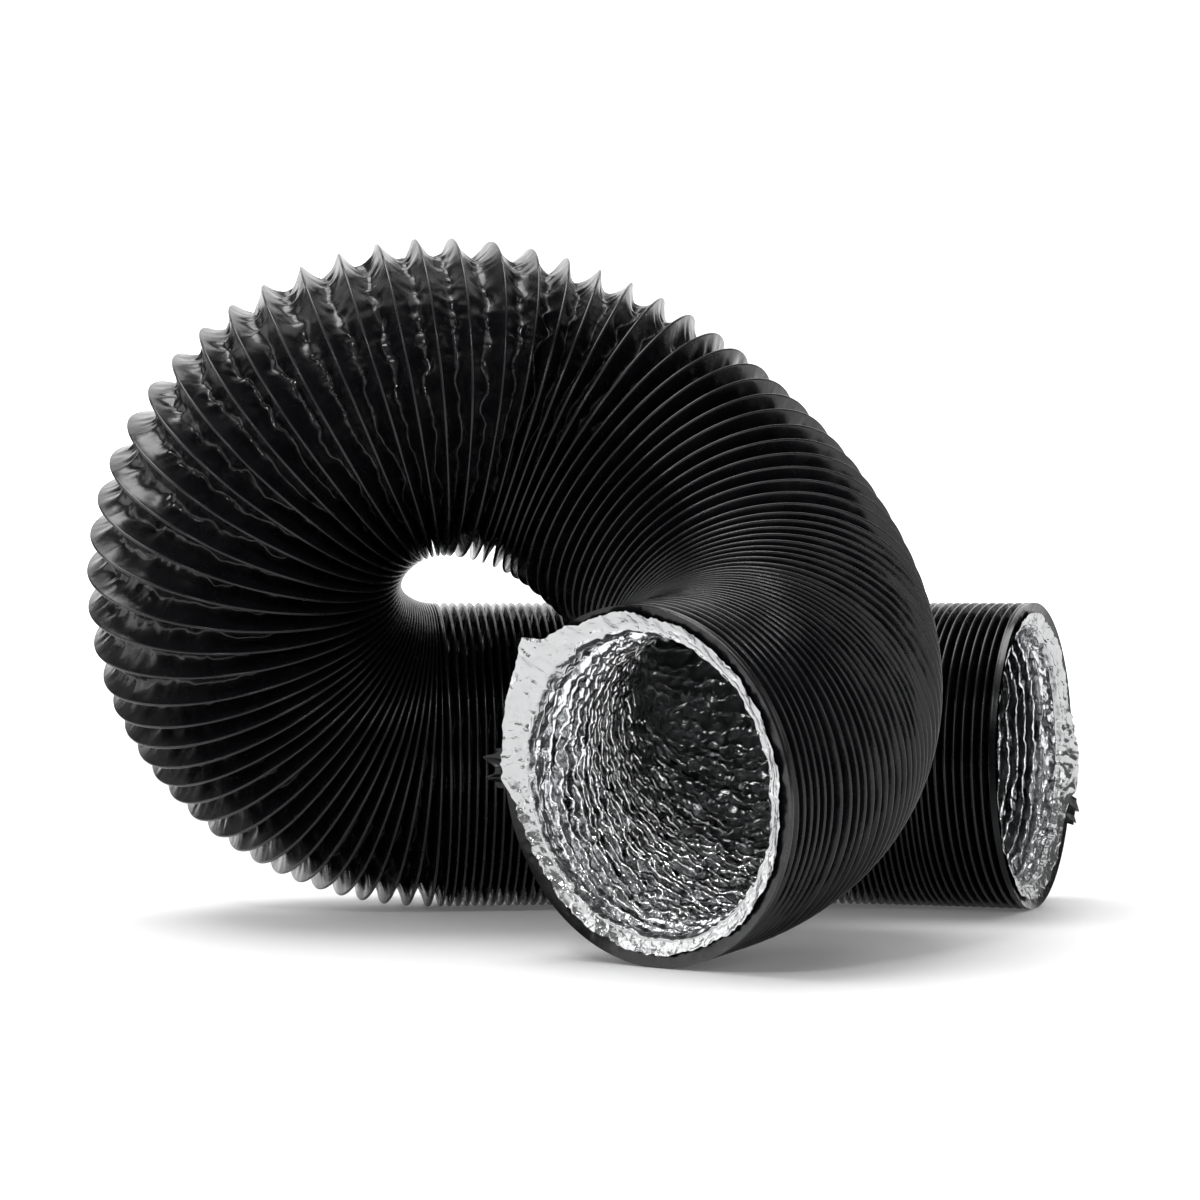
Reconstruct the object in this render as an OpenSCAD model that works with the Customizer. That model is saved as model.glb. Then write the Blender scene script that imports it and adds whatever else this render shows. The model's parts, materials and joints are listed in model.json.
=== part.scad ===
// Flexible air duct: foil liner, spring-wire helix and outer jacket, lying in one standing loop.
// +Z is up and the floor is z = 0. The origin is on the floor, under the middle of the duct.
// The duct is built from mouth B, along the leg on the floor, round the loop to mouth A.
// Between two sections one fold of the two films is left open: that fold bends or stretches.

/* [Duct] */
// Clear bore inside the foil liner, mm
bore_d = 203; // [200:0.5:204]
// Thickness of the foil liner, mm
liner_t = 0.6; // [0.4:0.1:0.7]
// Thickness of the spring wire, mm
wire_d = 1.2; // [0.8:0.1:1.2]
// Thickness of the outer jacket, mm
jacket_t = 0.7; // [0.5:0.1:1]

/* [Turns of wire] */
// Turns in each mouth section
mouth_turns = 6; // [3:1:7]
// Turns in each of the two curved leg sections
leg_curve_turns = 18; // [6:1:18]
// Turns in the straight leg section
leg_turns = 28; // [8:1:29]
// Turns in each of the three wide sections of the tight bend; the two lower ones have more
bend_turns = 5; // [3:1:7]

/* [Torn ends] */
// Width of the foil turned back over the rim at mouth A, mm
flap_a_w = 24; // [10:1:30]
// Width of the foil turned back over the rim at mouth B, mm
flap_b_w = 18; // [8:1:24]
// Length of the loose jacket strips at the mouths, mm
tab_l = 15; // [6:1:20]

/* [Hidden] */
$fn = 72;

black = [0.04, 0.04, 0.045];
foil = [0.82, 0.83, 0.84];
steel = [0.55, 0.55, 0.57];

// Radii of the three layers, with 0.3 mm of air between them
liner_ri = bore_d / 2;
liner_ro = liner_ri + liner_t;
wire_r = liner_ro + 0.3 + wire_d / 2;
jacket_ri = wire_r + wire_d / 2 + 0.3;
jacket_ro = jacket_ri + jacket_t;

// Route of the centreline: [length, bend radius (0 is straight), roll of the bend plane]
route = [
    [44, 0, 0],         // mouth B
    [213, 408, 0],      // leg, curving in the floor plane
    [164, 0, 0],        // leg, straight
    [426, 130, 67],     // tight bend that stands on the floor
    [15, 230, -31],     // link
    [95, 151, -32],     // top, coming down
    [384, 213, -19.016], // wide turn down to the front
    [41, 0, 0]          // mouth A
];
mouth_b = [299.78, 148.49, jacket_ro];
mouth_b_heading = 158.0;

// 4 x 4 frames: local z runs along the duct, local x points away from the bend centre
function shift(x, y, z) = [[1, 0, 0, x], [0, 1, 0, y], [0, 0, 1, z], [0, 0, 0, 1]];
function turn_z(a) = [[cos(a), -sin(a), 0, 0], [sin(a), cos(a), 0, 0], [0, 0, 1, 0], [0, 0, 0, 1]];
function turn_y(a) = [[cos(a), 0, sin(a), 0], [0, 1, 0, 0], [-sin(a), 0, cos(a), 0], [0, 0, 0, 1]];
function along(m, len, r) = r == 0 ? m * shift(0, 0, len)
    : m * shift(-r, 0, 0) * turn_y(-len / r * 180 / PI) * shift(r, 0, 0);
lay_flat = [[0, 0, 1, 0], [-1, 0, 0, 0], [0, -1, 0, 0], [0, 0, 0, 1]];
function leg_start(i) = i == 0
    ? shift(mouth_b[0], mouth_b[1], mouth_b[2]) * turn_z(mouth_b_heading) * lay_flat
    : along(leg_start(i - 1), route[i - 1][0], route[i - 1][1]) * turn_z(route[i][2]);

// Sections: [part of the route, start along it, length, turns of wire].
// The gaps between them are one fold each: 5.5 mm pressed together, about 14 mm in the loop.
bend_folds = [9.5, 10, 13.5, 14.5, 14.5];
function folds_to(k) = k < 0 ? 0 : bend_folds[k] + folds_to(k - 1);
bend_l = (route[3][0] - folds_to(4)) / 5;
function bend_at(k) = folds_to(k) + k * bend_l;
mouth_b_s = [0, 0, 38.5, mouth_turns];
leg_b1_s = [1, 0, 101, leg_curve_turns];
leg_b2_s = [1, 106.5, 101, leg_curve_turns];
leg_s = [2, 0, 164, leg_turns];
bend_1_s = [3, bend_at(0), bend_l, bend_turns + 3];
bend_2_s = [3, bend_at(1), bend_l, bend_turns + 2];
bend_3_s = [3, bend_at(2), bend_l, bend_turns];
bend_4_s = [3, bend_at(3), bend_l, bend_turns];
bend_5_s = [3, bend_at(4), bend_l, bend_turns];
top_s = [5, 0, 95, 6];
turn_1_s = [6, 13, 78, 5];
turn_2_s = [6, 104, 78, 5];
turn_3_s = [6, 194, 81, 8];
front_1_s = [6, 284, 44.5, 7];
front_2_s = [6, 334, 44.5, 7];
mouth_a_s = [7, 0, 41, mouth_turns];

function start_of(s) = along(leg_start(s[0]), s[1], route[s[0]][1]);
function radius_of(s) = route[s[0]][1];

// One length of plain tube, straight or bent, from radius ri to ro
module tube(s, ri, ro) {
    r = radius_of(s);
    multmatrix(start_of(s))
        if (r == 0)
            difference() {
                cylinder(r = ro, h = s[2]);
                translate([0, 0, -1]) cylinder(r = ri, h = s[2] + 2);
            }
        else
            translate([-r, 0, 0]) rotate([90, 0, 0])
                rotate_extrude(angle = s[2] / r * 180 / PI, $fn = 288)
                    translate([r, 0]) difference() {
                        circle(r = ro, $fn = 72);
                        circle(r = ri, $fn = 72);
                    }
}

// Point of the wire on the outer (side = 1) or inner (side = -1) line of a section, as [x, z]
function wire_point(u, side, r) = r == 0 ? [side * wire_r, u]
    : [(r + side * wire_r) * cos(u / r * 180 / PI) - r, (r + side * wire_r) * sin(u / r * 180 / PI)];

// The wire: half turns that meet on the outer and inner lines with the same direction.
// Every second half turn is a hair thinner, so that each joint closes cleanly.
module wire(s) {
    r = radius_of(s);
    end_gap = 0.9;
    halves = 2 * s[3];
    multmatrix(start_of(s))
        for (k = [0 : halves - 1]) {
            step = (s[2] - 2 * end_gap) / halves;
            side = k % 2 == 0 ? 1 : -1;
            p = wire_point(end_gap + k * step, side, r);
            q = wire_point(end_gap + (k + 1) * step, -side, r);
            c = (p + q) / 2;
            e = (p - c) / norm(p - c);
            multmatrix([[e[0], 0, -side * e[1], c[0]], [0, side, 0, 0], [e[1], 0, side * e[0], c[1]],
                [0, 0, 0, 1]])
                rotate([0, 0, -0.4]) rotate_extrude(angle = 180.8)
                    translate([norm(p - c), 0])
                        circle(r = wire_d / 2 - (k % 2) * 0.03, $fn = 32);
        }
}

// Foil folded over the rim: a thin ring on the mouth plus a flap turned back outside.
// s is the mouth section, at its end (1) or start (-1); the flap covers flap_a degrees from flap_at.
module foil_rim(s, dir, flap_w, flap_at, flap_a) {
    m = dir > 0 ? along(start_of(s), s[2], radius_of(s)) : start_of(s);
    multmatrix(m) mirror([0, 0, dir > 0 ? 0 : 1]) {
        translate([0, 0, 0.1]) difference() {
            cylinder(r = jacket_ro - 0.3, h = 0.6);
            translate([0, 0, -1]) cylinder(r = liner_ri + 0.05, h = 3);
        }
        rotate([0, 0, flap_at]) rotate_extrude(angle = flap_a)
            polygon([[jacket_ro - 1.5, 0.2], [jacket_ro - 1.5, 0.6], [jacket_ro + 0.9, 0.6],
                [jacket_ro + 0.9, -flap_w], [jacket_ro + 0.4, -flap_w], [jacket_ro + 0.4, 0.2]]);
    }
}

// Loose strip of jacket that stands out from the rim
module tab(s, dir, at, w) {
    m = dir > 0 ? along(start_of(s), s[2], radius_of(s)) : start_of(s);
    multmatrix(m) mirror([0, 0, dir > 0 ? 0 : 1]) rotate([0, 0, at])
        translate([jacket_ro + 0.35, -w / 2, -3.5]) rotate([0, -20, 0]) cube([tab_l, w, 0.8]);
}

// The long leg wires are made in shorter runs of whole turns, end to end
function some_turns(s, from, count) = [s[0], s[1] + s[2] * from / s[3], s[2] * count / s[3], count];
half_leg = ceil(leg_curve_turns / 2);
third_leg = ceil(leg_turns / 3);

module jacket(s) color(black) tube(s, jacket_ri, jacket_ro);
module spring(s) color(steel) wire(s);
module liner(s) color(foil) tube(s, liner_ri, liner_ro);

module jacket_mouth_b() jacket(mouth_b_s);
module jacket_leg_b1() jacket(leg_b1_s);
module jacket_leg_b2() jacket(leg_b2_s);
module jacket_leg() jacket(leg_s);
module jacket_bend_1() jacket(bend_1_s);
module jacket_bend_2() jacket(bend_2_s);
module jacket_bend_3() jacket(bend_3_s);
module jacket_bend_4() jacket(bend_4_s);
module jacket_bend_5() jacket(bend_5_s);
module jacket_top() jacket(top_s);
module jacket_turn_1() jacket(turn_1_s);
module jacket_turn_2() jacket(turn_2_s);
module jacket_turn_3() jacket(turn_3_s);
module jacket_front_1() jacket(front_1_s);
module jacket_front_2() jacket(front_2_s);
module jacket_mouth_a() jacket(mouth_a_s);

module wire_mouth_b() spring(mouth_b_s);
module wire_leg_b1_1() spring(some_turns(leg_b1_s, 0, half_leg));
module wire_leg_b1_2() spring(some_turns(leg_b1_s, half_leg, leg_curve_turns - half_leg));
module wire_leg_b2_1() spring(some_turns(leg_b2_s, 0, half_leg));
module wire_leg_b2_2() spring(some_turns(leg_b2_s, half_leg, leg_curve_turns - half_leg));
module wire_leg_1() spring(some_turns(leg_s, 0, third_leg));
module wire_leg_2() spring(some_turns(leg_s, third_leg, third_leg));
module wire_leg_3() spring(some_turns(leg_s, 2 * third_leg, leg_turns - 2 * third_leg));
module wire_bend_1() spring(bend_1_s);
module wire_bend_2() spring(bend_2_s);
module wire_bend_3() spring(bend_3_s);
module wire_bend_4() spring(bend_4_s);
module wire_bend_5() spring(bend_5_s);
module wire_top() spring(top_s);
module wire_turn_1() spring(turn_1_s);
module wire_turn_2() spring(turn_2_s);
module wire_turn_3() spring(turn_3_s);
module wire_front_1() spring(front_1_s);
module wire_front_2() spring(front_2_s);
module wire_mouth_a() spring(mouth_a_s);

module liner_mouth_b() liner(mouth_b_s);
module liner_leg_b1() liner(leg_b1_s);
module liner_leg_b2() liner(leg_b2_s);
module liner_leg() liner(leg_s);
module liner_bend_1() liner(bend_1_s);
module liner_bend_2() liner(bend_2_s);
module liner_bend_3() liner(bend_3_s);
module liner_bend_4() liner(bend_4_s);
module liner_bend_5() liner(bend_5_s);
module liner_top() liner(top_s);
module liner_turn_1() liner(turn_1_s);
module liner_turn_2() liner(turn_2_s);
module liner_turn_3() liner(turn_3_s);
module liner_front_1() liner(front_1_s);
module liner_front_2() liner(front_2_s);
module liner_mouth_a() liner(mouth_a_s);

module foil_rim_a() color(foil) foil_rim(mouth_a_s, 1, flap_a_w, 125, 80);
module foil_rim_b() color(foil) foil_rim(mouth_b_s, -1, flap_b_w, -45, 55);
module tab_a() color(black) tab(mouth_a_s, 1, -144, 26);
module tab_b() color(black) tab(mouth_b_s, -1, 24, 20);

jacket_mouth_b();
jacket_leg_b1();
jacket_leg_b2();
jacket_leg();
jacket_bend_1();
jacket_bend_2();
jacket_bend_3();
jacket_bend_4();
jacket_bend_5();
jacket_top();
jacket_turn_1();
jacket_turn_2();
jacket_turn_3();
jacket_front_1();
jacket_front_2();
jacket_mouth_a();
wire_mouth_b();
wire_leg_b1_1();
wire_leg_b1_2();
wire_leg_b2_1();
wire_leg_b2_2();
wire_leg_1();
wire_leg_2();
wire_leg_3();
wire_bend_1();
wire_bend_2();
wire_bend_3();
wire_bend_4();
wire_bend_5();
wire_top();
wire_turn_1();
wire_turn_2();
wire_turn_3();
wire_front_1();
wire_front_2();
wire_mouth_a();
liner_mouth_b();
liner_leg_b1();
liner_leg_b2();
liner_leg();
liner_bend_1();
liner_bend_2();
liner_bend_3();
liner_bend_4();
liner_bend_5();
liner_top();
liner_turn_1();
liner_turn_2();
liner_turn_3();
liner_front_1();
liner_front_2();
liner_mouth_a();
foil_rim_a();
foil_rim_b();
tab_a();
tab_b();
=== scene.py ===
import json
import math

import bpy
import numpy as np
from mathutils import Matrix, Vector


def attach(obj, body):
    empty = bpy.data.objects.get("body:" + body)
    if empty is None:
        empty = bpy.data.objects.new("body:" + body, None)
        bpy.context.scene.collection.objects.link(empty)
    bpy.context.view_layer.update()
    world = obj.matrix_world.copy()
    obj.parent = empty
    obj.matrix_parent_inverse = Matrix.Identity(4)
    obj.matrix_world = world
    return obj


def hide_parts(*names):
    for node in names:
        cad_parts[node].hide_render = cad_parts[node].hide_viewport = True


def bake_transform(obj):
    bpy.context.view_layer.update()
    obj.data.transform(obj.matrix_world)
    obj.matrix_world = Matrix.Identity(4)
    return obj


# A flexible air duct: black film jacket, spring-wire helix and crumpled foil liner, laid in one loop.
# Lengths in the duct's own geometry are in millimetres, as in the CAD model, and become metres when a
# mesh is made. "s" is the distance along the centreline from mouth B, and "turn" counts the wire's turns.

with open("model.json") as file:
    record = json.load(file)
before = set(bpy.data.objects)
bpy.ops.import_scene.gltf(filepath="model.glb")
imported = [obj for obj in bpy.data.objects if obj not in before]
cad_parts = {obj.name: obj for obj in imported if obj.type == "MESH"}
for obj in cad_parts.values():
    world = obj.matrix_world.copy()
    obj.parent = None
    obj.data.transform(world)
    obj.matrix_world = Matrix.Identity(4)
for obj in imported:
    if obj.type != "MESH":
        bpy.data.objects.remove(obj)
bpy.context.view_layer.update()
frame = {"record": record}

# ---------------------------------------------------------------- the duct's dimensions
METRE = 0.001
OUTER_R = 104.6      # the jacket's outside
RIDGE_R = 104.4      # top of the film where it passes over the wire
WIRE_R = 103.0       # centre line of the wire
WIRE_T = 1.2         # thickness of the wire
LINER_R = 102.0      # the foil where it passes under the wire
BEAD = 1.0           # half width of the ridge that the wire makes in the film
FILM_W = 36.0        # width of the film from one turn of wire to the next
BEAD_SHARE = 0.36    # most of the distance to the next turn that half a ridge may take
LINER_START = 8.0    # depth inside each mouth where the liner begins
SPRING_START = 3.2   # depth inside each mouth where the spring begins
CLOSE_PITCH = 7.5    # turns nearer than this are drawn with fewer rows
LONGEST_FINE = 90    # only pieces shorter than this get the fine rows of foil

# Route of the centreline: length, bend radius (0 is straight), roll of the bend plane in degrees
ROUTE = (
    (44, 0, 0), (213, 408, 0), (164, 0, 0), (426, 130, 67),
    (15, 230, -31), (95, 151, -32), (384, 213, -19.016), (41, 0, 0),
)
MOUTH_B = (299.78, 148.49, OUTER_R)
HEADING_B = 158.0

BEND_FOLDS = (9.5, 10, 13.5, 14.5, 14.5)
BEND_L = (ROUTE[3][0] - sum(BEND_FOLDS)) / 5
BEND_TURNS = (8, 7, 5, 5, 5)
BENDS = tuple(
    (f"bend_{k + 1}", 3, sum(BEND_FOLDS[:k + 1]) + k * BEND_L, BEND_L, BEND_TURNS[k]) for k in range(5)
)
# Sections: body, part of the route, start along it, length, turns of wire
SECTIONS = (
    ("mouth_b", 0, 0, 38.5, 6), ("leg_b1", 1, 0, 101, 18), ("leg_b2", 1, 106.5, 101, 18),
    ("leg", 2, 0, 164, 28), *BENDS, ("top", 5, 0, 95, 6),
    ("turn_1", 6, 13, 78, 5), ("turn_2", 6, 104, 78, 5), ("turn_3", 6, 194, 81, 8),
    ("front_1", 6, 284, 44.5, 7), ("front_2", 6, 334, 44.5, 7), ("mouth_a", 7, 0, 41, 6),
)
FINE_FOIL = ("mouth_a", "front_2", "front_1", "turn_3", "turn_2", "mouth_b", "leg_b1")


# ---------------------------------------------------------------- the centreline
def shift(x, y, z):
    m = np.eye(4)
    m[:3, 3] = (x, y, z)
    return m


def turn_z(degrees):
    m = np.eye(4)
    c, s = math.cos(math.radians(degrees)), math.sin(math.radians(degrees))
    m[:2, :2] = ((c, -s), (s, c))
    return m


def turn_y(angle):
    m = np.eye(4)
    m[0, 0] = m[2, 2] = math.cos(angle)
    m[0, 2], m[2, 0] = math.sin(angle), -math.sin(angle)
    return m


def along(m, length, radius):
    if radius == 0:
        return m @ shift(0, 0, length)
    return m @ shift(-radius, 0, 0) @ turn_y(-length / radius) @ shift(radius, 0, 0)


def route_frames():
    """The frame at the start of each part of the route: z along the duct, x away from the bend centre."""
    lay_flat = np.array(((0, 0, 1, 0), (-1, 0, 0, 0), (0, -1, 0, 0), (0, 0, 0, 1)), float)
    m = shift(*MOUTH_B) @ turn_z(HEADING_B) @ lay_flat
    made = []
    for length, radius, roll in ROUTE:
        m = m @ turn_z(roll)
        made.append(m)
        m = along(m, length, radius)
    return np.array(made)


PART_FRAME = route_frames()
PART_START = np.concatenate(((0,), np.cumsum([p[0] for p in ROUTE])[:-1])).astype(float)
TOTAL = float(sum(p[0] for p in ROUTE))
BEND_R = np.array([p[1] for p in ROUTE], float)
ROLL = np.radians(np.cumsum([p[2] for p in ROUTE]))


def part_at(s):
    """Which part of the route each distance is on."""
    return np.clip(np.searchsorted(PART_START, s, side="right") - 1, 0, len(ROUTE) - 1)


def centreline(s):
    """Centre, outward direction, side direction, travel direction and roll at distances s."""
    s = np.asarray(s, float)
    part = part_at(s)
    u, radius = s - PART_START[part], BEND_R[part]
    bent = radius > 0
    angle = np.where(bent, u / np.where(bent, radius, 1.0), 0.0)
    c, d = np.cos(angle)[..., None], np.sin(angle)[..., None]
    x0, y0, z0, p0 = (PART_FRAME[part][..., :3, k] for k in range(4))
    back = np.where(bent, radius * (np.cos(angle) - 1), 0.0)[..., None]
    ahead = np.where(bent, radius * np.sin(angle), u)[..., None]
    return p0 + back * x0 + ahead * z0, c * x0 + d * z0, y0, c * z0 - d * x0, ROLL[part]


def smoothed(values, width):
    """Moving average over an odd number of samples, the ends held."""
    half = width // 2
    padded = np.concatenate((np.full(half, values[0]), values, np.full(half, values[-1])))
    total = np.cumsum(np.concatenate(((0.0,), padded)))
    return (total[width:] - total[:-width]) / width


def turn_table():
    """Turn count of the wire along the duct. Each section starts at its bend's outer side."""
    knots_s, knots_turn = [], []
    for name, part, start, length, turns in SECTIONS:
        s0 = PART_START[part] + start
        phase = ROLL[part] / (2 * math.pi)
        if knots_turn:
            phase += round(knots_turn[-1] + 1 - phase)
        knots_s += [s0 + 0.9, s0 + length - 0.9]
        knots_turn += [phase, phase + turns]
    slope_a = (knots_turn[1] - knots_turn[0]) / (knots_s[1] - knots_s[0])
    slope_b = (knots_turn[-1] - knots_turn[-2]) / (knots_s[-1] - knots_s[-2])
    knots_s = [knots_s[0] - 200, *knots_s, knots_s[-1] + 200]
    knots_turn = [knots_turn[0] - 200 * slope_a, *knots_turn, knots_turn[-1] + 200 * slope_b]
    return np.array(knots_s), np.array(knots_turn)


GRID = np.arange(-150.0, TOTAL + 150.0, 0.5)
TURN = smoothed(np.interp(GRID, *turn_table()), 41)
PITCH = smoothed(1.0 / np.gradient(TURN, GRID), 31)
GRID_PART = part_at(GRID)
GRID_R = BEND_R[GRID_PART]
GRID_BEND = np.where(GRID_R > 0, 1.0 / np.where(GRID_R > 0, GRID_R, 1.0), 0.0)
BEND_X = smoothed(GRID_BEND * np.cos(ROLL[GRID_PART]), 61)
BEND_Y = smoothed(GRID_BEND * np.sin(ROLL[GRID_PART]), 61)


def turn_at(s):
    return np.interp(s, GRID, TURN)


def s_at_turn(turn):
    return np.interp(turn, TURN, GRID)


def local_pitch(s, theta):
    """Distance between neighbouring ridges at that place on the outside, in mm."""
    bend = np.interp(s, GRID, BEND_X) * np.cos(theta) + np.interp(s, GRID, BEND_Y) * np.sin(theta)
    return np.interp(s, GRID, PITCH) * np.maximum(1 + RIDGE_R * bend, 0.12)


# ---------------------------------------------------------------- noise
def lattice(i, j, seed):
    h = (i * 374761393 + j * 668265263 + seed * 362437) & 0xFFFFFFFF
    h = ((h ^ (h >> 13)) * 1274126177) & 0xFFFFFFFF
    return ((h ^ (h >> 16)) & 0xFFFF) / 32767.5 - 1.0


def noise(theta, cells, v, seed):
    """Smooth noise from -1 to 1. It has `cells` cells round the duct, and v counts cells the other way."""
    u = theta / (2 * math.pi) * cells
    i, j = np.floor(u).astype(np.int64), np.floor(v).astype(np.int64)
    a, b = u - i, v - j
    a, b = a * a * (3 - 2 * a), b * b * (3 - 2 * b)
    left = lattice(i % cells, j, seed) * (1 - b) + lattice(i % cells, j + 1, seed) * b
    right = lattice((i + 1) % cells, j, seed) * (1 - b) + lattice((i + 1) % cells, j + 1, seed) * b
    return left * (1 - a) + right * a


def creases(theta, cells, v, seed):
    """Noise from -1 to 1 with sharp lines, as in crumpled film."""
    return 1 - 2 * np.abs(noise(theta, cells, v, seed)) ** 0.8


def smooth_step(x, low, high):
    t = np.clip((x - low) / (high - low), 0, 1)
    return t * t * (3 - 2 * t)


# ---------------------------------------------------------------- the three layers
def place(s, theta, radius, slip):
    """Points at that angle and radius round the centreline, moved `slip` mm along the duct."""
    centre, out, side, ahead, roll = centreline(s)
    a = theta - roll
    around = np.cos(a)[..., None] * out + np.sin(a)[..., None] * side
    return centre + radius[..., None] * around + slip[..., None] * ahead


def sway(s, theta):
    """Small unevenness of the turns along the duct, in mm."""
    pitch = local_pitch(s, theta)
    return np.minimum(0.9, 0.10 * pitch) * noise(theta, 5, turn_at(s) * 0.55, 11)


def end_fade(s):
    """1 along the duct, 0 at the two rims."""
    return smooth_step(s, 2.5, 7.5) * smooth_step(TOTAL - s, 2.5, 7.5)


def fold_shape(s, theta):
    """Distance from the nearest ridge, half the ridge's width and the local pitch in mm, and fold number.

    The fold number grows evenly round the duct, so noise that follows it has no seam.
    """
    turn = turn_at(s) - theta / (2 * math.pi)
    phase = turn - np.floor(turn)
    pitch = local_pitch(s, theta)
    bead = np.minimum(BEAD, BEAD_SHARE * pitch)
    return np.minimum(phase, 1 - phase) * pitch, bead, pitch, np.floor(turn) + theta / (2 * math.pi)


def jacket_shape(s, theta):
    """Radius and slip of the film, with how far each point is from ridge (0) to valley (1)."""
    x, bead, pitch, fold = fold_shape(s, theta)
    over_wire = bead - np.sqrt(np.maximum(bead**2 - np.minimum(x, bead)**2, 0))
    v = np.clip((x - bead) / np.maximum(pitch / 2 - bead, 1e-6), 0, 1)
    slack = 1 + 0.06 * noise(theta, 9, fold * 1.7, 3)
    depth = np.sqrt(np.maximum((FILM_W / 2 * slack - bead)**2 - (pitch / 2 - bead)**2, 4.0))
    from_rim = np.minimum(s, TOTAL - s)
    depth = np.minimum(depth, 12.5 + 8 * smooth_step(from_rim, 12, 26))
    open_fold = np.clip((pitch - 6) / 12, 0, 1)
    sag = v * (1 - open_fold) + (1 - (1 - v)**1.7) * open_fold
    room = np.clip(pitch / 16, 0.04, 1.4)
    fade = end_fade(s)
    pleat = noise(theta, 64, fold * 3.1 + v * 0.6, 21) + 0.6 * creases(theta, 118, fold * 2.3 + v * 0.9, 22)
    dent = noise(theta, 31, fold * 1.9 + v * 0.5, 23)
    waves = 1.2 * noise(theta, 38, fold * 0.55, 26) + 0.5 * noise(theta, 83, fold * 4.1, 27)
    wander = np.minimum(0.30 * pitch, 3.0) * waves
    crumple = fade * (room * v**1.4 * (1.3 * pleat + 0.8 * dent) + v**1.2 * wander)
    bulge = 1.6 * noise(theta, 47, fold * 2.7, 24) + 1.3 * creases(theta, 90, fold * 1.3 + v * 1.2, 25)
    lift = room * v**1.3 * bulge
    drop = (over_wire + depth * sag + lift) * fade
    return RIDGE_R - drop, sway(s, theta) + crumple, v, pitch, fold


def jacket_points(s, theta):
    radius, slip, *_ = jacket_shape(s, theta)
    return place(s, theta, radius, slip)


def liner_points(s, theta):
    film, slip, v, pitch, fold = jacket_shape(s, theta)
    room = np.clip(pitch / 11, 0.3, 1.3)
    wide = np.clip((12 - pitch) / 5, 0, 1)           # close turns push the foil's folds out flat
    own = LINER_R - 14.5 * smooth_step(v, 0.05, 0.75)
    radius = np.minimum(film - 2.4 + 1.3 * v, own * wide + 200 * (1 - wide))
    scallop = creases(theta, 44, fold * 3.7, 38) + 0.8 * noise(theta, 101, fold * 2.9, 39)
    crush = noise(theta, 190, fold * 2.3 + v * 1.7, 31) + creases(theta, 125, fold * 3.1 + v * 1.6, 33)
    radius = radius - v * (room * 1.3 * (crush + 0.8) + 1.7 * (scallop + 0.9))
    slip = slip + 0.7 * room * v * noise(theta, 120, fold * 3.7 + v * 1.8, 32)
    near_rim = 1 - smooth_step(np.minimum(s, TOTAL - s), 14, 24)
    return place(s, theta, radius * (1 - near_rim) + band_radius(s, theta) * near_rim, slip)


def band_radius(s, theta):
    """The foil just inside each mouth, which is crumpled but has no folds."""
    crumple = creases(theta, 70, s * 0.16, 37) + 0.7 * noise(theta, 140, s * 0.3, 40)
    return 87.2 - 1.1 * crumple


# ---------------------------------------------------------------- meshes
def mesh_object(name, points, faces, material):
    """A mesh from points in mm and faces of 4 indices. Faces that have lost a side become triangles."""
    same = np.stack([faces[:, k] == faces[:, (k + 1) % 4] for k in range(4)], 1)
    lost = same.sum(1)
    quads = faces[lost == 0]
    folded = faces[lost == 1]
    gone = same[lost == 1].argmax(1)
    keep = (gone[:, None] + np.arange(1, 4)) % 4
    triangles = np.take_along_axis(folded, keep, 1)
    corners = np.concatenate((quads.ravel(), triangles.ravel()))
    used, corners = np.unique(corners, return_inverse=True)
    sizes = np.concatenate((np.full(len(quads), 4), np.full(len(triangles), 3)))
    mesh = bpy.data.meshes.new(name)
    mesh.vertices.add(len(used))
    mesh.vertices.foreach_set("co", (points[used] * METRE).astype(np.float32).ravel())
    mesh.loops.add(len(corners))
    mesh.loops.foreach_set("vertex_index", corners.astype(np.int32).ravel())
    mesh.polygons.add(len(sizes))
    starts = np.concatenate(((0,), np.cumsum(sizes)[:-1]))
    mesh.polygons.foreach_set("loop_start", starts.astype(np.int32))
    mesh.polygons.foreach_set("use_smooth", np.full(len(sizes), True))
    mesh.update(calc_edges=True)
    mesh.validate()
    mesh.materials.append(material)
    obj = bpy.data.objects.new(name, mesh)
    bpy.context.scene.collection.objects.link(obj)
    return obj


def row_phases(bead_steps, flank_steps):
    """One turn's rows as (ridge number, +1 or -1, part of the ridge or None, part of the flank)."""
    half = [(x, None) for x in bead_steps] + [(None, v) for v in flank_steps]
    after = [(0, 1, x, v) for x, v in half]
    before = [(1, -1, x, v) for x, v in reversed(half[1:-1])]
    return after + before


def row_positions(turn, rows, theta):
    """Distances s of the rows of one turn, at each angle."""
    made = []
    for ridge, sign, x, v in rows:
        base = turn + ridge + theta / (2 * math.pi)
        pitch = local_pitch(s_at_turn(base), theta)
        edge = np.minimum(BEAD, BEAD_SHARE * pitch) / pitch
        offset = edge * x if v is None else edge + (0.5 - edge) * v
        made.append(s_at_turn(base + sign * offset))
    return made


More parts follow.
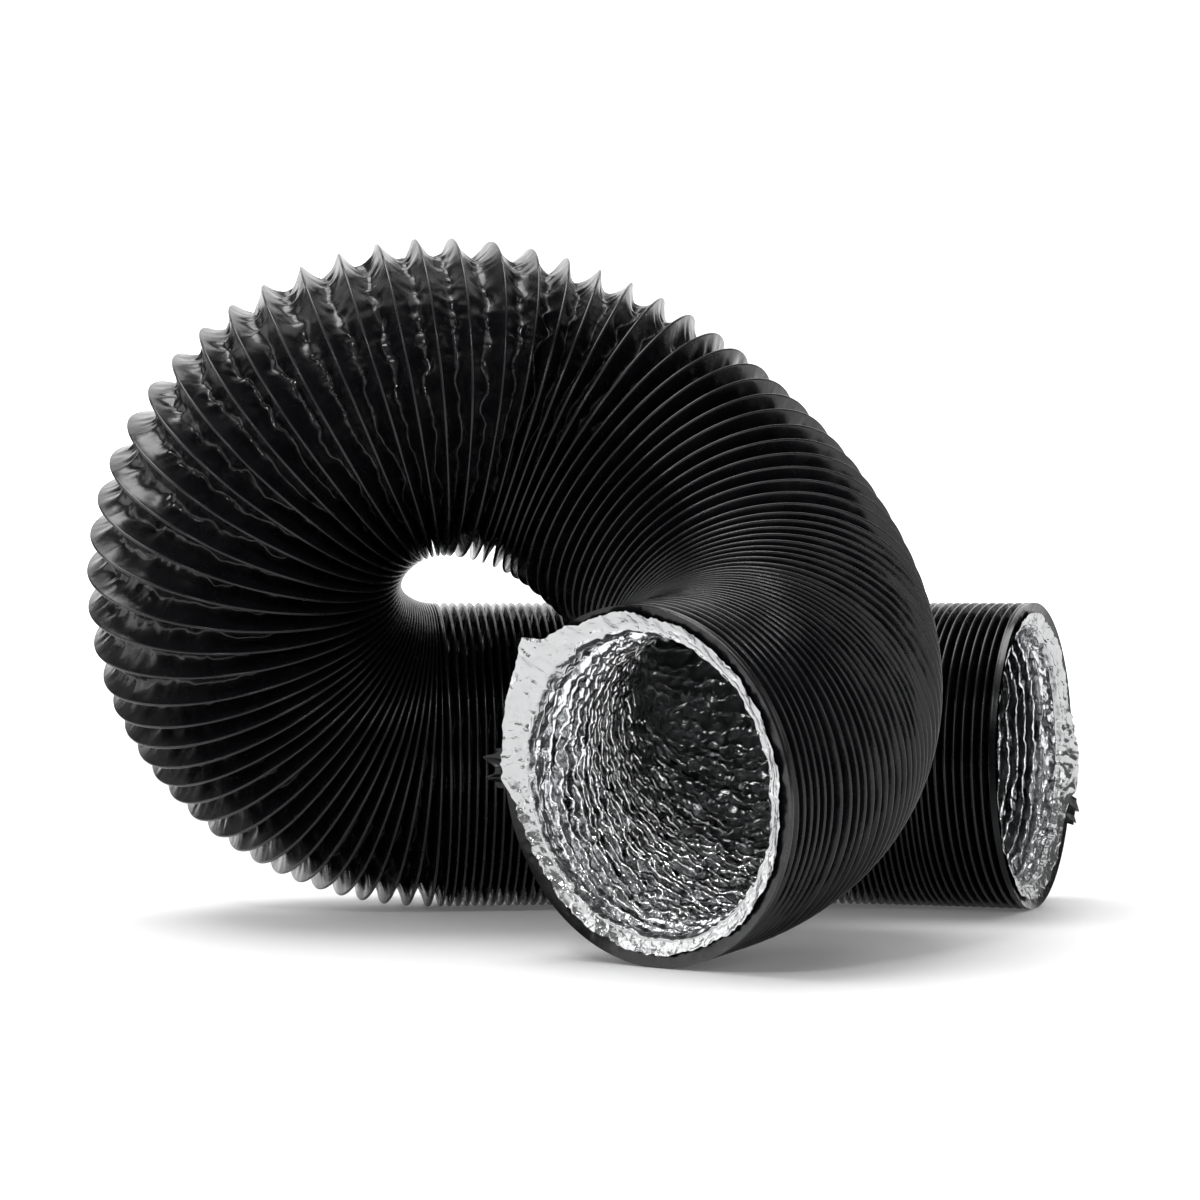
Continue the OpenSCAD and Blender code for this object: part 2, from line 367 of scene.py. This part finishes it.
def layer(name, low, high, columns, rows, points_at, material):
    """The part of a helical layer between two planes across the duct. Rows that pass a plane stop on it."""
    theta = np.arange(columns) * (2 * math.pi / columns)
    first, last = math.floor(turn_at(low)) - 2, math.ceil(turn_at(high)) + 1
    s = np.array([r for turn in range(first, last + 1) for r in row_positions(turn, rows, theta)])
    theta = np.broadcast_to(theta, s.shape)
    side = np.where(s <= low, -1, np.where(s >= high, 1, 0))
    s = np.clip(s, low, high)
    points = points_at(s, theta).reshape(-1, 3)
    count = len(s)
    index = np.arange(count * columns).reshape(count, columns)
    # all rows that stop on a plane share one rim of points
    last_before = count - 1 - np.argmax(side[::-1] == -1, axis=0)
    first_after = np.argmax(side == 1, axis=0)
    for bound, row in ((-1, last_before), (1, first_after)):
        index = np.where(side == bound, row[None, :] * columns + np.arange(columns)[None, :], index)
    per_turn = len(rows)
    i = np.arange(count - 1)
    here, above = index[:-1], index[1:]
    right, right_above = here[:, 1:], above[:, 1:]
    inner = np.stack((here[:, :-1], right, right_above, above[:, :-1]), -1).reshape(-1, 4)
    i = i[i + 1 + per_turn < count]
    wrap = np.stack((index[i, -1], index[i + per_turn, 0], index[i + 1 + per_turn, 0], index[i + 1, -1]), -1)
    return mesh_object(name, points, np.concatenate((inner, wrap)), material)


def wire_run(name, low, high, material):
    """The spring wire between two planes across the duct, as a round tube along the helix."""
    steps, sides = 72, 8
    first = math.ceil(turn_at(low) * steps - steps)
    last = math.floor(turn_at(high) * steps + steps)
    turn = np.arange(first, last) / steps
    turn = turn[(turn >= turn_at(low)) & (turn <= turn_at(high))]
    # a ridge is where the turn count at s, less the angle, is whole
    s = s_at_turn(turn)
    theta = (turn * 2 * math.pi) % (2 * math.pi)
    ring = np.arange(sides) * (2 * math.pi / sides)
    grow = WIRE_R + WIRE_T / 2 * np.cos(ring)[None, :] + np.zeros((len(s), 1))
    slip = sway(s, theta)[:, None] + WIRE_T / 2 * np.sin(ring)[None, :]
    wide = np.ones((1, sides))
    points = place(s[:, None] * wide, theta[:, None] * wide, grow, slip).reshape(-1, 3)
    index = np.arange(len(s) * sides).reshape(len(s), sides)
    nxt = np.roll(index, -1, axis=1)
    faces = np.stack((index[:-1], index[1:], nxt[1:], nxt[:-1]), -1).reshape(-1, 4)
    return mesh_object(name, points, faces, material)


def sheet(name, points, material, closed=False):
    """A surface through rows of points; closed joins the last column to the first."""
    rows, columns = points.shape[:2]
    index = np.arange(rows * columns).reshape(rows, columns)
    if closed:
        index = np.concatenate((index, index[:, :1]), 1)
    faces = np.stack((index[:-1, :-1], index[:-1, 1:], index[1:, 1:], index[1:, :-1]), -1).reshape(-1, 4)
    return mesh_object(name, points.reshape(-1, 3), faces, material)


# ---------------------------------------------------------------- the mouths
FOIL_EDGE_R = 96.5   # usual outer edge of the foil that is folded over the rim
FLANK_IN_R = 90.0    # how far in the film's rim reaches
FLANK_DEPTH = 5.0    # how deep it is there
# How far the torn foil reaches out beyond its usual edge: (angle in degrees, mm) round each mouth
FOIL_REACH = {
    "a": ((-124, 0), (80, 0), (128, 3), (152, 4), (167, 10), (172, 19), (177, 14), (190, 8), (215, 8),
          (228, 4)),
    "b": ((-60, 0), (-20, 3), (0, 7), (8, 16), (12, 14), (20, 3), (30, 0), (150, 2), (200, 0)),
}
# Torn tabs of film: middle, half width in degrees, length
TABS = {"a": (-144, 7.5, 16), "b": (24, 6.5, 17)}


def at_mouth(mouth, depth, angle, radius):
    """Points at a depth inside the mouth. The angle is from the outer side of the bend next to it."""
    if mouth == "b":
        return place(depth, angle, radius, np.zeros_like(depth))
    return place(TOTAL - depth, angle + ROLL[-1], radius, np.zeros_like(depth))


def flank_depth(radius, angle, seed):
    """Depth of the film that turns in at the rim."""
    inward = np.clip((OUTER_R - radius) / (OUTER_R - FLANK_IN_R), 0, None)
    waves = 0.9 * noise(angle, 26, 0.5, seed) + 0.5 * noise(angle, 70, inward * 3, seed)
    return FLANK_DEPTH * inward**0.8 + inward * waves


def rim_flank(mouth, columns, material):
    """The film that turns in at the rim."""
    angle, t = np.meshgrid(np.linspace(0, 2 * math.pi, columns, endpoint=False), np.linspace(0, 1, 14))
    radius = RIDGE_R - (RIDGE_R - FLANK_IN_R + 1.5) * t
    depth = flank_depth(radius, angle, 51) + 0.5 * t * creases(angle, 80, t * 4, 52)
    return sheet(f"film_rim_{mouth}", at_mouth(mouth, depth, angle, radius), material, closed=True)


def foil_edge(mouth, columns, material):
    """The torn edge of the foil, folded out over the film's rim."""
    angle, t = np.meshgrid(np.linspace(0, 2 * math.pi, columns, endpoint=False), np.linspace(0, 1, 40))
    where, how_far = zip(*FOIL_REACH[mouth])
    reach = np.interp(np.degrees(angle), where, how_far, period=360)
    ragged = 1.7 * noise(angle, 44, 0.5, 53) + 1.1 * creases(angle, 120, 0.5, 54)
    ragged = ragged + 0.5 * noise(angle, 300, 0.5, 55)
    edge = FOIL_EDGE_R + ragged + reach * (1 + 0.2 * noise(angle, 40, 0.5, 56))
    start = LINER_START if mouth == "b" else TOTAL - LINER_START
    inner = band_radius(np.full_like(angle, start), angle + (ROLL[-1] if mouth == "a" else 0.0))
    radius = inner + (edge - inner) * t**1.3
    out_of_wall = smooth_step(t, 0, 0.25)
    depth = flank_depth(np.maximum(radius, FLANK_IN_R), angle, 51) * out_of_wall + 8.2 * (1 - out_of_wall)
    facets = creases(angle, 58, t * 2.6, 57) + 0.45 * creases(angle, 133, t * 5, 58) + 1.45
    lifted = t * reach * (0.10 + 0.12 * noise(angle, 30, t * 1.5, 59))
    lifted = lifted + 1.4 * t**3 * (1 + noise(angle, 63, 0.5, 66))
    depth = depth - 0.3 - out_of_wall * facets * (0.42 + 0.04 * reach) - lifted
    return sheet(f"foil_edge_{mouth}", at_mouth(mouth, depth, angle, radius), material, closed=True)


def torn_tab(mouth, material):
    """A torn strip of film that stands out from the rim, with two ragged points."""
    middle, half, length = TABS[mouth]
    across, t = np.meshgrid(np.linspace(-1, 1, 60), np.linspace(0, 1, 30))
    angle = np.radians(middle + half * across * (1 - 0.2 * t))
    points = np.maximum(1 - 1.5 * np.abs(across + 0.45), 0.82 - 1.7 * np.abs(across - 0.5))
    torn = np.maximum(points, 0.45) + 0.08 * noise(angle, 180, 0.5, 63)
    radius = OUTER_R - 5 + (length + 5) * t * torn
    depth = -1.0 + 2.4 * (1 - t)**2 - 1.5 * t**2 + 1.6 * t * noise(angle, 60, t * 2.2, 64)
    return sheet(f"film_tab_{mouth}", at_mouth(mouth, depth, angle, radius), material)


# ---------------------------------------------------------------- materials
def link(tree, source, output, target, socket):
    tree.links.new(source.outputs[output], target.inputs[socket])


def textured(name, color, metallic, shine, roughness, spread, scale, bumps):
    """A material with uneven roughness and bumps. Each bump is (texture, scale per metre, height in mm)."""
    material = bpy.data.materials.new(name)
    material.use_nodes = True
    tree = material.node_tree
    shader = tree.nodes["Principled BSDF"]
    shader.inputs["Base Color"].default_value = (*color, 1)
    shader.inputs["Metallic"].default_value = metallic
    shader.inputs["Specular IOR Level"].default_value = shine
    where = tree.nodes.new("ShaderNodeTexCoord")
    patch = tree.nodes.new("ShaderNodeTexNoise")
    patch.inputs["Scale"].default_value = scale
    patch.inputs["Detail"].default_value = 6
    link(tree, where, "Object", patch, "Vector")
    uneven = tree.nodes.new("ShaderNodeMapRange")
    uneven.inputs["From Min"].default_value = 0.3
    uneven.inputs["From Max"].default_value = 0.7
    uneven.inputs["To Min"].default_value = roughness - spread
    uneven.inputs["To Max"].default_value = roughness + spread
    link(tree, patch, "Fac", uneven, "Value")
    link(tree, uneven, "Result", shader, "Roughness")
    below = None
    for kind, size, height in bumps:
        texture = tree.nodes.new("ShaderNodeTexVoronoi" if kind == "facets" else "ShaderNodeTexNoise")
        texture.inputs["Scale"].default_value = size
        link(tree, where, "Object", texture, "Vector")
        bump = tree.nodes.new("ShaderNodeBump")
        bump.inputs["Strength"].default_value = 1
        bump.inputs["Distance"].default_value = height * METRE
        link(tree, texture, "Distance" if kind == "facets" else "Fac", bump, "Height")
        if below:
            link(tree, below, "Normal", bump, "Normal")
        below = bump
    link(tree, below, "Normal", shader, "Normal")
    return material


FILM = textured(
    "black_film", (0.004, 0.004, 0.005), 0.0, 0.42, 0.25, 0.07, 60,
    (("noise", 100, 0.28), ("noise", 500, 0.025)),
)
STEEL = textured("spring_steel", (0.45, 0.45, 0.46), 1.0, 0.5, 0.34, 0.08, 400, (("noise", 1500, 0.03),))
CRUMPLED = (("facets", 130, 1.1), ("noise", 260, 0.7))
FOIL = textured("foil", (0.90, 0.91, 0.92), 1.0, 0.5, 0.18, 0.06, 80, CRUMPLED)
# The same foil as the liner with its colour lowered for the torn edges at the mouths: painted shade that
# keeps them from glaring under the lamps.
SHADED_FOIL_EDGE = textured("foil_edge", (0.58, 0.585, 0.59), 1.0, 0.5, 0.24, 0.06, 80, CRUMPLED)


# ---------------------------------------------------------------- the duct in the frame
OPEN_ROWS = row_phases((0, 0.45, 0.8, 1), (0.12, 0.28, 0.46, 0.64, 0.82, 1))
CLOSE_ROWS = row_phases((0, 0.6, 1), (0.3, 0.65, 1))


def pieces_between(tag, low, high, fine):
    """The film, wire and foil between two distances along the duct, for the caller to attach."""
    close = PITCH[np.searchsorted(GRID, (low + high) / 2)] < CLOSE_PITCH
    columns = 288
    rows = CLOSE_ROWS if close else OPEN_ROWS
    inside_low, inside_high = max(low, LINER_START), min(high, TOTAL - LINER_START)
    film = layer(f"film_{tag}", low, high, columns, rows, jacket_points, FILM)
    wire = wire_run(f"spring_{tag}", max(low, SPRING_START), min(high, TOTAL - SPRING_START), STEEL)
    foil_columns = columns * 2 if fine else columns // 2
    foil_rows = OPEN_ROWS if fine and high - low < LONGEST_FINE else rows
    foil = layer(f"foil_{tag}", inside_low, inside_high, foil_columns, foil_rows, liner_points, FOIL)
    return film, wire, foil


def build_sections():
    """The film, wire and foil of each section, in place of its nodes in the CAD model."""
    for name, part, start, length, _ in SECTIONS:
        low = PART_START[part] + start
        film, wire, foil = pieces_between(name, low, low + length, name in FINE_FOIL)
        nodes = frame["record"]["behaviour"]["bodies"][name]
        for piece, kind in ((film, "jacket"), (wire, "wire"), (foil, "liner")):
            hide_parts(*[node for node in nodes if node.startswith(kind)])
            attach(piece, name)


def build_folds():
    """The film, wire and foil of the fold between two sections, fixed in place where they are made."""
    for before, after in zip(SECTIONS, SECTIONS[1:]):
        low = PART_START[before[1]] + before[2] + before[3]
        high = PART_START[after[1]] + after[2]
        for piece in pieces_between(f"{before[0]}_to_{after[0]}", low, high, before[0] in FINE_FOIL):
            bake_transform(piece)


def build_mouths():
    """The rims: the film turned in, the torn edge of the foil over it, and the torn tabs."""
    columns = 720
    for mouth in "ab":
        flank = rim_flank(mouth, columns, FILM)
        edge = foil_edge(mouth, columns, SHADED_FOIL_EDGE)
        tab = torn_tab(mouth, FILM)
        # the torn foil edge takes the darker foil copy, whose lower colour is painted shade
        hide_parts(f"foil_rim_{mouth}")
        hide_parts(f"tab_{mouth}")
        for piece, slot in ((flank, "jacket"), (edge, "foil"), (tab, "jacket")):
            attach(piece, f"mouth_{mouth}")


build_sections()
build_folds()
build_mouths()


# ---------------------------------------------------------------- studio
def softbox(name, place_at, aim, size, power):
    """A rectangular light that faces a point."""
    light = bpy.data.lights.new(name, "AREA")
    light.shape = "RECTANGLE"
    light.size, light.size_y = size
    light.energy = power
    obj = bpy.data.objects.new(name, light)
    obj.location = place_at
    obj.rotation_euler = (Vector(aim) - Vector(place_at)).to_track_quat("-Z", "Y").to_euler()
    bpy.context.scene.collection.objects.link(obj)


def plain_material(name, color, glow):
    material = bpy.data.materials.new(name)
    material.use_nodes = True
    shader = material.node_tree.nodes["Principled BSDF"]
    shader.inputs["Base Color"].default_value = (color, color, color, 1)
    shader.inputs["Roughness"].default_value = 0.6
    shader.inputs["Emission Color"].default_value = (1, 1, 1, 1)
    shader.inputs["Emission Strength"].default_value = glow
    return material


def stage_mesh(name, corners, faces, material):
    mesh = bpy.data.meshes.new(name)
    mesh.from_pydata(corners, [], faces)
    mesh.materials.append(material)
    obj = bpy.data.objects.new(name, mesh)
    bpy.context.scene.collection.objects.link(obj)


def sky_light(energy, width):
    """A broad sun from overhead, a little behind and to one side."""
    light = bpy.data.lights.new("sky_light", "SUN")
    light.energy = energy
    light.angle = math.radians(width)
    obj = bpy.data.objects.new("sky_light", light)
    obj.rotation_euler = (math.radians(-12), math.radians(-14), 0)
    bpy.context.scene.collection.objects.link(obj)


def dim_room(strength):
    """A faint even white light from all round."""
    world = bpy.data.worlds.new("dim_room")
    world.use_nodes = True
    background = world.node_tree.nodes["Background"]
    background.inputs["Color"].default_value = (1, 1, 1, 1)
    background.inputs["Strength"].default_value = strength
    bpy.context.scene.world = world


def studio():
    """A pale floor, white glowing panels behind and on the left, a broad overhead sun and five softboxes."""
    one_face = [(0, 1, 2, 3)]
    floor = [(-40, -40, 0), (40, -40, 0), (40, 40, 0), (-40, 40, 0)]
    stage_mesh("floor", floor, one_face, plain_material("pale_floor", 0.9, 0.08))
    glow = plain_material("panel_white", 0.9, 1.0)
    back = [(-2.4, 3.2, 0), (2.4, 3.2, 0), (2.4, 3.2, 4), (-2.4, 3.2, 4)]
    left = [(-3.6, -1.6, 0), (-3.6, 1.6, 0), (-3.6, 1.6, 3), (-3.6, -1.6, 3)]
    stage_mesh("back_panel", back, one_face, glow)
    stage_mesh("side_panel", left, one_face, glow)
    dim_room(0.12)
    sky_light(1.7, 38)
    softbox("top_box", (0.0, 0.1, 2.5), (0, 0, 0.1), (3.2, 2.0), 22)
    softbox("front_box", (1.0, -3.2, 1.5), (0, 0, 0.2), (2.0, 1.4), 12)
    softbox("key_box", (-0.9, -2.2, 2.1), (0, 0, 0.25), (0.45, 0.25), 18)
    softbox("left_box", (-2.4, -1.2, 1.4), (0, 0, 0.25), (0.4, 1.8), 3.5)
    softbox("right_box", (2.1, -2.0, 1.1), (0, 0, 0.25), (1.4, 1.8), 14)


def camera():
    """A level camera with a long lens, a little above the floor and in front of the duct."""
    data = bpy.data.cameras.new("camera")
    data.lens = 100
    data.sensor_width = 36
    data.shift_y = 4 / 1200
    obj = bpy.data.objects.new("camera", data)
    obj.location = (0.00285, -2.1259, 0.208)
    obj.rotation_euler = (math.pi / 2, 0, 0)
    bpy.context.scene.collection.objects.link(obj)
    bpy.context.scene.camera = obj


studio()
camera()
bpy.context.scene.view_settings.view_transform = "Standard"
